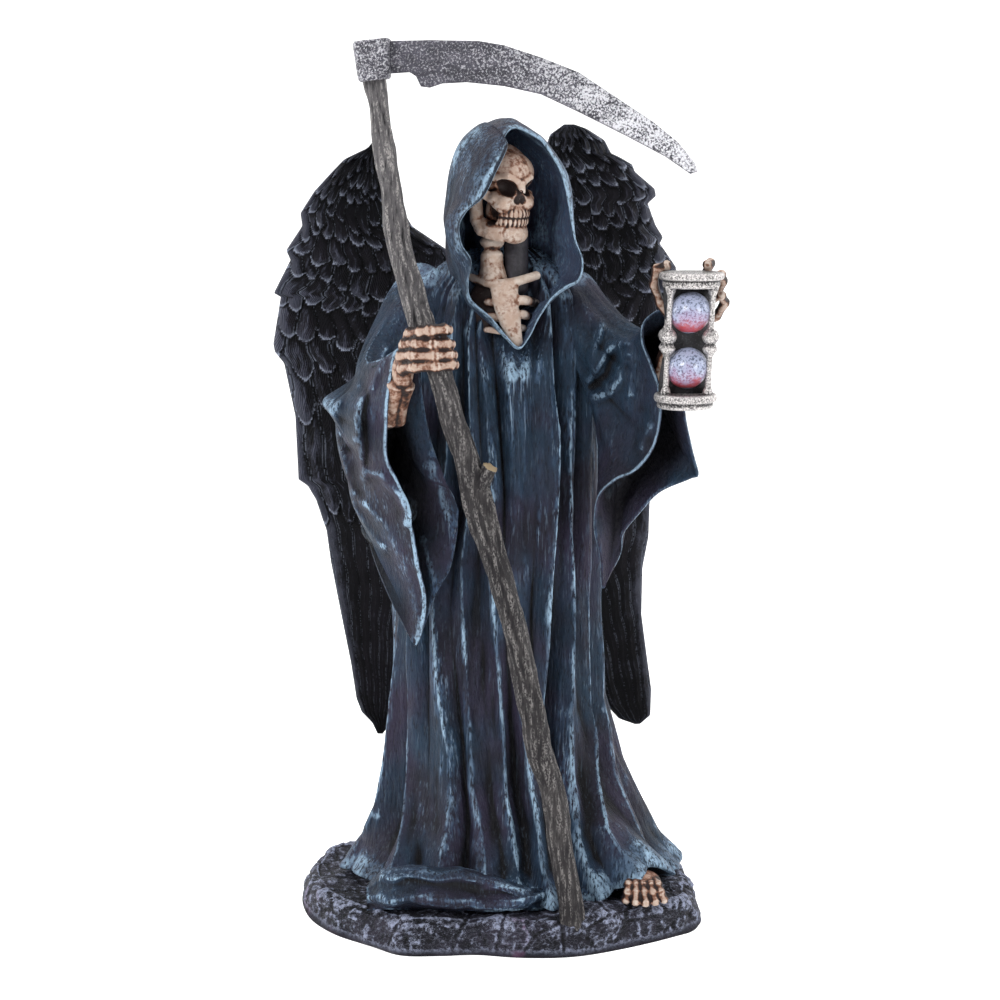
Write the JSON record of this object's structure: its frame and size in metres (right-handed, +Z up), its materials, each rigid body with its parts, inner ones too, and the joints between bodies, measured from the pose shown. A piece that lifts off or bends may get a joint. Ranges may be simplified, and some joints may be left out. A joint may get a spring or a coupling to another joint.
{
  "type": "figurine",
  "caption": "Grim reaper figurine in a hooded robe with folded wings, scythe and hourglass on a rock base, painted cast resin",
  "frame": {"origin": "centre of the flat underside of the rock base", "axes": "+Z up along the figure, -Y the side the figure faces, +X the viewer's right seen from the front"},
  "size_m": [0.1547, 0.1107, 0.2999],
  "materials": {
    "figure": "dark robe paint, dry-brushed blue on the folds, ivory bones",
    "feathers": "near-black paint, dry-brushed grey on the feather edges",
    "staff": "grey-brown wood paint, dry-brushed",
    "blade": "gunmetal paint with rubbed silver",
    "silver": "antique silver paint, pearly pink bulbs"
  },
  "bodies": {
    "root": {"reaper_figure": "figure", "wing_right": "feathers", "wing_left": "feathers", "scythe_staff": "staff", "scythe_blade": "blade", "hourglass": "silver"}
  },
  "joints": []
}
